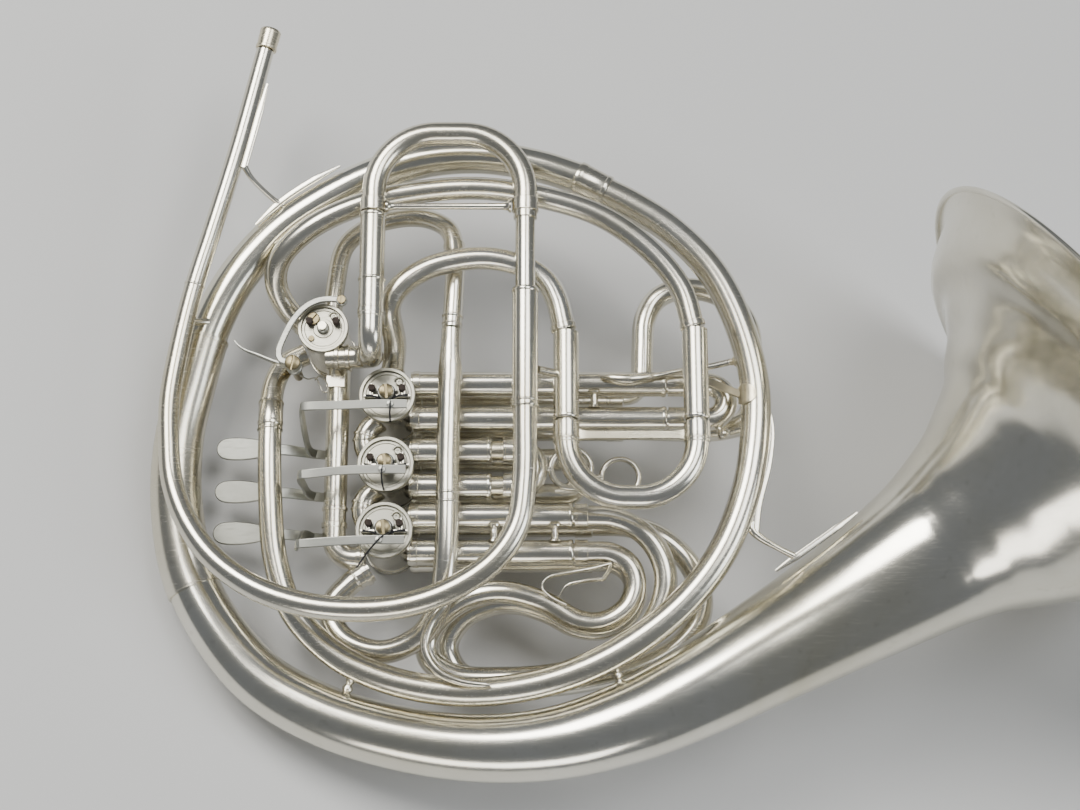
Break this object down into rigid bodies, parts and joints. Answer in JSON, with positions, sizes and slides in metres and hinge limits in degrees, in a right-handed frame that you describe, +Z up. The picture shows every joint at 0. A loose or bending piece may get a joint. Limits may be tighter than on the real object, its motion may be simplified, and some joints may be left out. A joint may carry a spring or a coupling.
{
  "type": "french horn",
  "caption": "Double french horn with a fixed flared bell, string-action rotary valves, finger and thumb levers and pull-out tuning and valve slides.",
  "frame": {"origin": "centre of the part's box in X and Y, on the table it lies on", "axes": "+Z up; the horn lies on its back with its levers up; +X towards the bell's mouth; +Y towards the mouthpiece end"},
  "size_m": [0.6044, 0.4148, 0.2936],
  "materials": {
    "nickel_silver": "polished nickel silver, lightly tarnished and scratched",
    "worn_nickel": "yellowish bare metal of inner slide legs and receiver",
    "satin_nickel": "satin grey levers, bars and stop arms",
    "brass": "dull brass screws and pins",
    "cork": "dark bumper cork",
    "string": "black braided valve string"
  },
  "bodies": {
    "horn": {"back_cap_1": "nickel_silver", "back_cap_2": "nickel_silver", "back_cap_3": "nickel_silver", "back_cap_thumb": "nickel_silver", "bell": "nickel_silver", "bell_brace": "nickel_silver", "bell_rim_wire": "nickel_silver", "bell_tail": "nickel_silver", "branch_ferrule": "nickel_silver", "cross_tube": "nickel_silver", "cross_tube_top": "nickel_silver", "f_branch_lower": "nickel_silver", "f_branch_upper": "nickel_silver", "f_sleeve_left": "nickel_silver", "f_sleeve_right": "nickel_silver", "first_branch": "nickel_silver", "hand_guard": "nickel_silver", "leadpipe": "nickel_silver", "leadpipe_brace": "nickel_silver", "lever_hinge_rod": "nickel_silver", "main_sleeve_left": "nickel_silver", "main_sleeve_right": "nickel_silver", "mouthpiece_receiver": "worn_nickel", "pinky_hook": "nickel_silver", "ring_leadpipe_flange": "nickel_silver", "ring_post_left": "nickel_silver", "ring_post_right": "nickel_silver", "ring_post_top": "nickel_silver", "slide_stay": "nickel_silver", "thumb_lever_post": "brass", "valve_casing_1": "nickel_silver", "valve_casing_2": "nickel_silver", "valve_casing_3": "nickel_silver", "valve_casing_thumb": "nickel_silver", "valve_link_tube": "nickel_silver", "valve_plate_1": "nickel_silver", "valve_plate_2": "nickel_silver", "valve_plate_3": "nickel_silver", "valve_plate_thumb": "nickel_silver"},
    "main_slide": {"main_tuning_slide": "nickel_silver", "main_slide_brace": "nickel_silver"},
    "f_slide": {"f_tuning_slide": "nickel_silver"},
    "slide_1_bb": {"slide_1_front": "nickel_silver"},
    "slide_1_f": {"slide_1_back": "nickel_silver"},
    "slide_2_bb": {"slide_2_front": "nickel_silver"},
    "slide_2_f": {"slide_2_back": "nickel_silver"},
    "slide_3_bb": {"slide_3_front": "nickel_silver"},
    "slide_3_f": {"slide_3_back": "nickel_silver"},
    "lever_1": {"finger_lever_1": "satin_nickel"},
    "lever_2": {"finger_lever_2": "satin_nickel"},
    "lever_3": {"finger_lever_3": "satin_nickel"},
    "lever_thumb": {"thumb_lever": "satin_nickel"},
    "valve_rotor_1": {"rotor_1": "nickel_silver", "stop_arm_1": "satin_nickel"},
    "valve_rotor_2": {"rotor_2": "nickel_silver", "stop_arm_2": "satin_nickel"},
    "valve_rotor_3": {"rotor_3": "nickel_silver", "stop_arm_3": "satin_nickel"},
    "valve_rotor_thumb": {"rotor_thumb": "nickel_silver", "stop_arm_thumb": "satin_nickel"}
  },
  "joints": [
    {"name": "main_slide_pull", "type": "slide", "parent": "horn", "child": "main_slide", "axis": [0, 0.9971, 0.0755], "range_m": [0, 0.04]},
    {"name": "f_slide_pull", "type": "slide", "parent": "horn", "child": "f_slide", "axis": [0, -0.9971, -0.0755], "range_m": [0, 0.03]},
    {"name": "slide_1_bb_pull", "type": "slide", "parent": "horn", "child": "slide_1_bb", "axis": [0.9691, -0.0186, 0.2459], "range_m": [0, 0.03]},
    {"name": "slide_1_f_pull", "type": "slide", "parent": "horn", "child": "slide_1_f", "axis": [0.9691, -0.0186, 0.2459], "range_m": [0, 0.03]},
    {"name": "slide_2_bb_pull", "type": "slide", "parent": "horn", "child": "slide_2_bb", "axis": [0.9691, -0.0186, 0.2459], "range_m": [0, 0.02]},
    {"name": "slide_2_f_pull", "type": "slide", "parent": "horn", "child": "slide_2_f", "axis": [0.9691, -0.0186, 0.2459], "range_m": [0, 0.02]},
    {"name": "slide_3_bb_pull", "type": "slide", "parent": "horn", "child": "slide_3_bb", "axis": [0.9691, -0.0186, 0.2459], "range_m": [0, 0.012]},
    {"name": "slide_3_f_pull", "type": "slide", "parent": "horn", "child": "slide_3_f", "axis": [0.9691, -0.0186, 0.2459], "range_m": [0, 0.015]},
    {"name": "finger_lever_1_press", "type": "hinge", "parent": "horn", "child": "lever_1", "pos_m": [-0.19988, -0.04579, 0.01999], "axis": [0, 0.9971, 0.0755], "range_deg": [-9, 0], "stiffness_Nm_per_rad": 0.08, "springref_deg": 40.11},
    {"name": "rotor_1_turn", "type": "hinge", "parent": "horn", "child": "valve_rotor_1", "pos_m": [-0.1735, 0.00002, 0.03744], "axis": [-0.2466, -0.0732, 0.9664], "range_deg": [-90, 0]},
    {"name": "finger_lever_2_press", "type": "hinge", "parent": "horn", "child": "lever_2", "pos_m": [-0.19988, -0.04579, 0.01999], "axis": [0, 0.9971, 0.0755], "range_deg": [-9, 0], "stiffness_Nm_per_rad": 0.08, "springref_deg": 40.11},
    {"name": "rotor_2_turn", "type": "hinge", "parent": "horn", "child": "valve_rotor_2", "pos_m": [-0.1735, -0.03837, 0.03453], "axis": [-0.2466, -0.0732, 0.9664], "range_deg": [-90, 0]},
    {"name": "finger_lever_3_press", "type": "hinge", "parent": "horn", "child": "lever_3", "pos_m": [-0.19988, -0.04579, 0.01999], "axis": [0, 0.9971, 0.0755], "range_deg": [-9, 0], "stiffness_Nm_per_rad": 0.08, "springref_deg": 40.11},
    {"name": "rotor_3_turn", "type": "hinge", "parent": "horn", "child": "valve_rotor_3", "pos_m": [-0.1735, -0.07427, 0.03181], "axis": [-0.2466, -0.0732, 0.9664], "range_deg": [-90, 0]},
    {"name": "thumb_lever_press", "type": "hinge", "parent": "horn", "child": "lever_thumb", "pos_m": [-0.23007, 0.0148, 0.05413], "axis": [-0.2466, -0.0732, 0.9664], "range_deg": [0, 15], "stiffness_Nm_per_rad": 0.08, "springref_deg": -40.11},
    {"name": "rotor_thumb_turn", "type": "hinge", "parent": "horn", "child": "valve_rotor_thumb", "pos_m": [-0.20839, 0.03858, 0.03145], "axis": [-0.2466, -0.0732, 0.9664], "range_deg": [0, 90]}
  ],
  "couplings": [
    {"joint": "rotor_1_turn", "follows": "finger_lever_1_press", "ratio": 10},
    {"joint": "rotor_2_turn", "follows": "finger_lever_2_press", "ratio": 10},
    {"joint": "rotor_3_turn", "follows": "finger_lever_3_press", "ratio": 10},
    {"joint": "rotor_thumb_turn", "follows": "thumb_lever_press", "ratio": 6}
  ]
}
